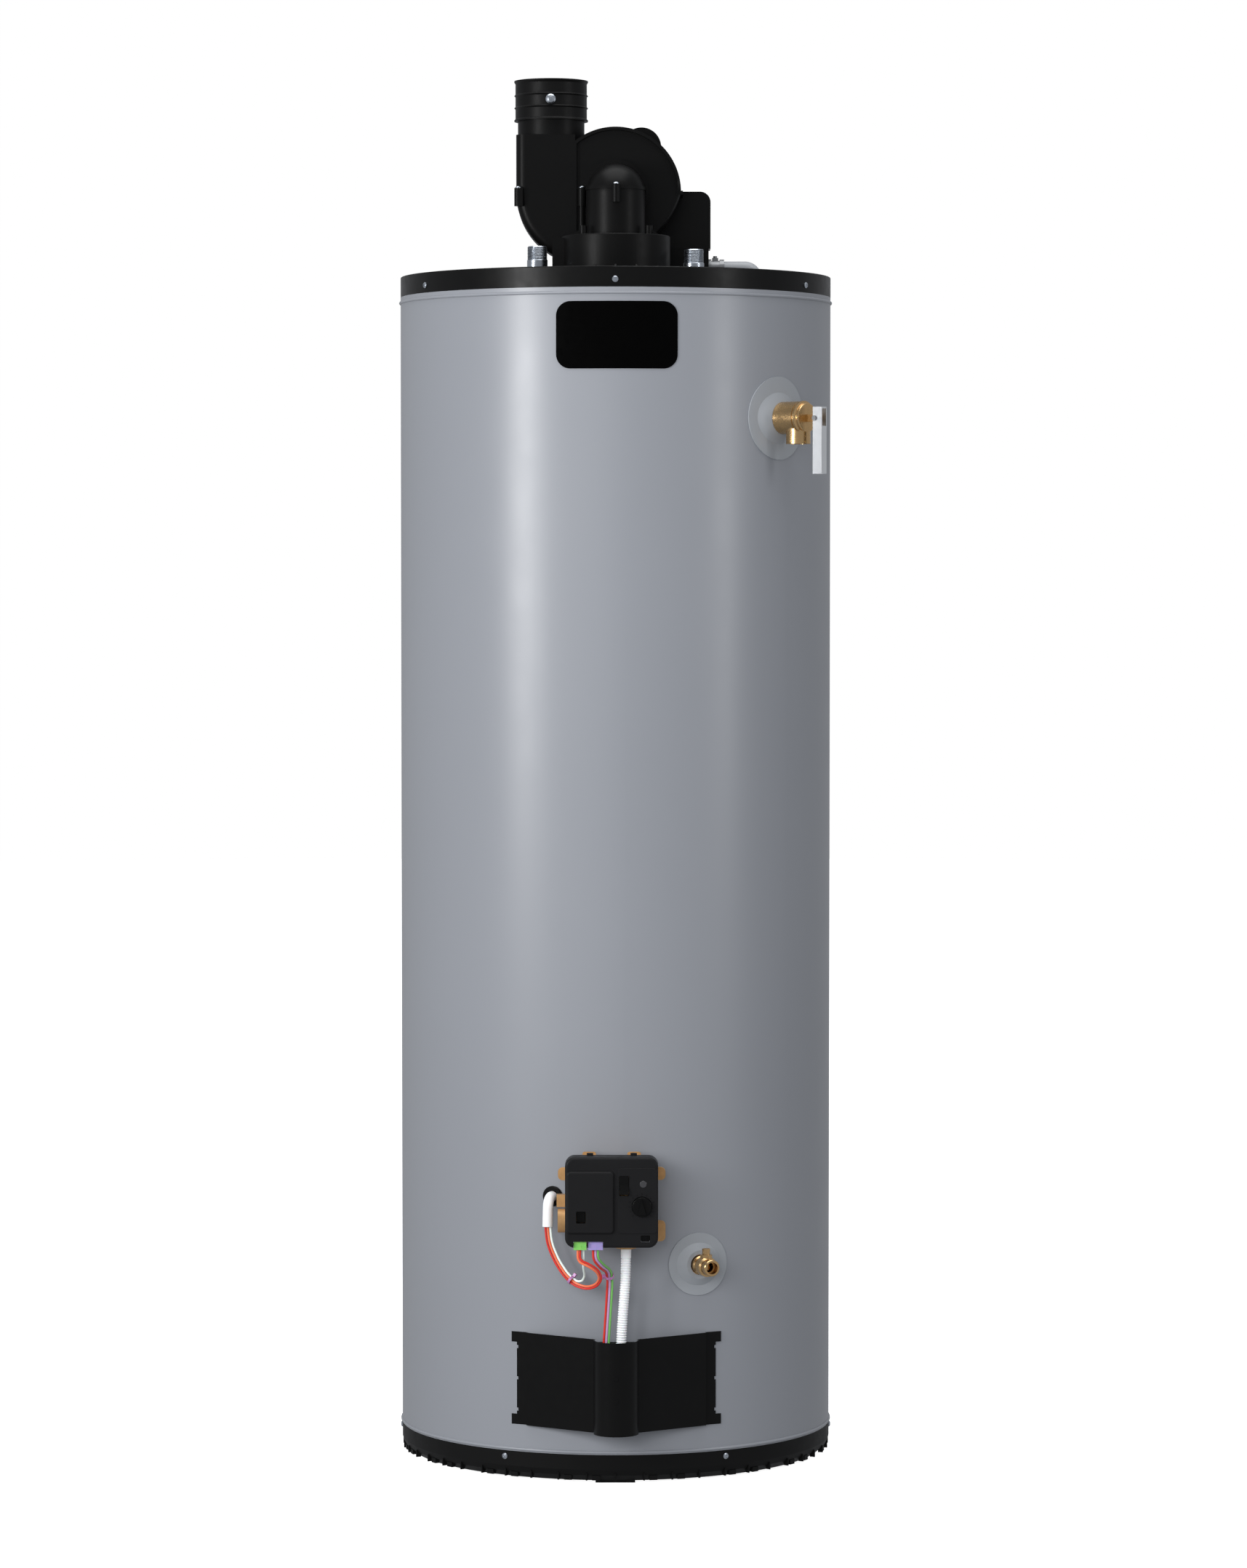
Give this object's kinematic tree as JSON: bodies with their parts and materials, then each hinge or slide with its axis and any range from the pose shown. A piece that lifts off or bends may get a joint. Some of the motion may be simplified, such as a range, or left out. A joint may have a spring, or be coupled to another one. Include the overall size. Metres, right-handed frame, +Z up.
{
  "type": "tank water heater",
  "caption": "Tall round power-vent gas water heater with a top blower, side relief and drain valves and a front gas control.",
  "frame": {"origin": "centre of the base pan's middle pad, on the floor, on the axis of the round tank", "axes": "+Z up along the tank, -Y towards the gas control at the front, +X to the right seen from the front"},
  "size_m": [0.5636, 0.6513, 1.7896],
  "materials": {
    "jacket_paint": "satin grey enamel",
    "black_sheet": "satin black enamel",
    "pan_black": "satin black",
    "badge_black": "glossy black blank label",
    "foam": "rigid foam",
    "steel": "mill steel",
    "zinc": "bright zinc plate",
    "pipe_plastic": "dip tube plastic",
    "magnesium": "cast magnesium",
    "brass": "brass",
    "lever_steel": "plated lever",
    "escutcheon_grey": "grey trim ring",
    "casting_tan": "chromated casting",
    "control_black": "textured black plastic",
    "dial_black": "satin black plastic",
    "lens_grey": "dark lens",
    "rubber_black": "black rubber",
    "white_plastic": "white plastic",
    "wire_red": "red insulation",
    "wire_orange": "orange insulation",
    "wire_white": "white insulation",
    "wire_lilac": "lilac insulation",
    "wire_green": "green insulation",
    "plug_green": "green plug",
    "plug_lilac": "lilac plug",
    "tie_clear": "translucent tie",
    "gasket": "fibre gasket",
    "black_plastic": "moulded black plastic",
    "fan_metal": "fan wheel",
    "motor_steel": "black motor shell",
    "connector_grey": "grey connector",
    "conduit_grey": "grey conduit"
  },
  "bodies": {
    "heater": {"jacket": "jacket_paint", "jacket_lid": "black_sheet", "base_pan": "pan_black", "badge_plate": "badge_black", "foam_insulation": "foam", "tank_shell": "steel", "tank_top_head": "steel", "tank_bottom_head": "steel", "tank_skirt": "steel", "flue_tube": "steel", "flue_baffle": "steel", "cold_inlet_nipple": "zinc", "hot_outlet_nipple": "zinc", "dip_tube": "pipe_plastic", "anode_rod": "magnesium", "relief_valve_body": "brass", "relief_lever_pin": "steel", "relief_escutcheon": "escutcheon_grey", "drain_valve_body": "brass", "drain_escutcheon": "escutcheon_grey", "gas_control_casting": "casting_tan", "gas_control_cover": "control_black", "status_lens": "lens_grey", "sensor_grommet": "rubber_black", "sensor_boot": "white_plastic", "lead_red": "wire_red", "lead_orange": "wire_orange", "lead_white": "wire_white", "pilot_lead_red": "wire_red", "pilot_lead_lilac": "wire_lilac", "pilot_lead_green": "wire_green", "green_plug": "plug_green", "lilac_plug": "plug_lilac", "harness_ties": "tie_clear", "gas_tube": "white_plastic", "burner_door_outer": "black_sheet", "burner_door_inner": "steel", "door_gasket": "gasket", "burner": "steel", "burner_manifold": "steel", "pilot_assembly": "steel", "blower_collar": "black_plastic", "blower_housing_lower": "black_plastic", "blower_housing_upper": "black_plastic", "blower_motor": "motor_steel", "pressure_switch": "black_plastic", "pressure_tube": "rubber_black", "vent_coupling": "rubber_black", "coupling_screw": "zinc", "junction_box": "black_sheet", "conduit_connector": "connector_grey", "wiring_conduit": "conduit_grey", "blower_screws": "zinc", "jacket_screws": "zinc"},
    "temperature_dial": {"temperature_dial": "dial_black"},
    "power_switch": {"power_switch": "dial_black"},
    "relief_lever": {"relief_lever": "lever_steel"},
    "relief_stem": {"relief_stem": "brass"},
    "drain_stem": {"drain_stem": "brass"},
    "blower_wheel": {"blower_wheel": "fan_metal"}
  },
  "joints": [
    {"name": "dial_turn", "type": "hinge", "parent": "heater", "child": "temperature_dial", "pos_m": [0.0331, -0.36, 0.361], "axis": [0, -1, 0], "range_deg": [-135, 135]},
    {"name": "switch_rock", "type": "hinge", "parent": "heater", "child": "power_switch", "pos_m": [0.011, -0.355, 0.3868], "axis": [1, 0, 0], "range_deg": [0, 14]},
    {"name": "lever_lift", "type": "hinge", "parent": "heater", "child": "relief_lever", "pos_m": [0.25362, -0.2324, 1.34], "axis": [-0.6756, -0.7373, 0], "range_deg": [0, 90]},
    {"name": "stem_lift", "type": "slide", "parent": "heater", "child": "relief_stem", "axis": [0.7373, -0.6756, 0], "range_m": [0, 0.0031]},
    {"name": "drain_turn", "type": "hinge", "parent": "heater", "child": "drain_stem", "pos_m": [0.11402, -0.28278, 0.276], "axis": [0, 0, 1], "range_deg": [0, 90]},
    {"name": "fan_spin", "type": "hinge", "parent": "heater", "child": "blower_wheel", "pos_m": [0, 0.09, 1.6415], "axis": [0, 1, 0], "continuous": true}
  ],
  "couplings": [
    {"joint": "stem_lift", "follows": "lever_lift", "m_per_rad": 0.0019}
  ]
}
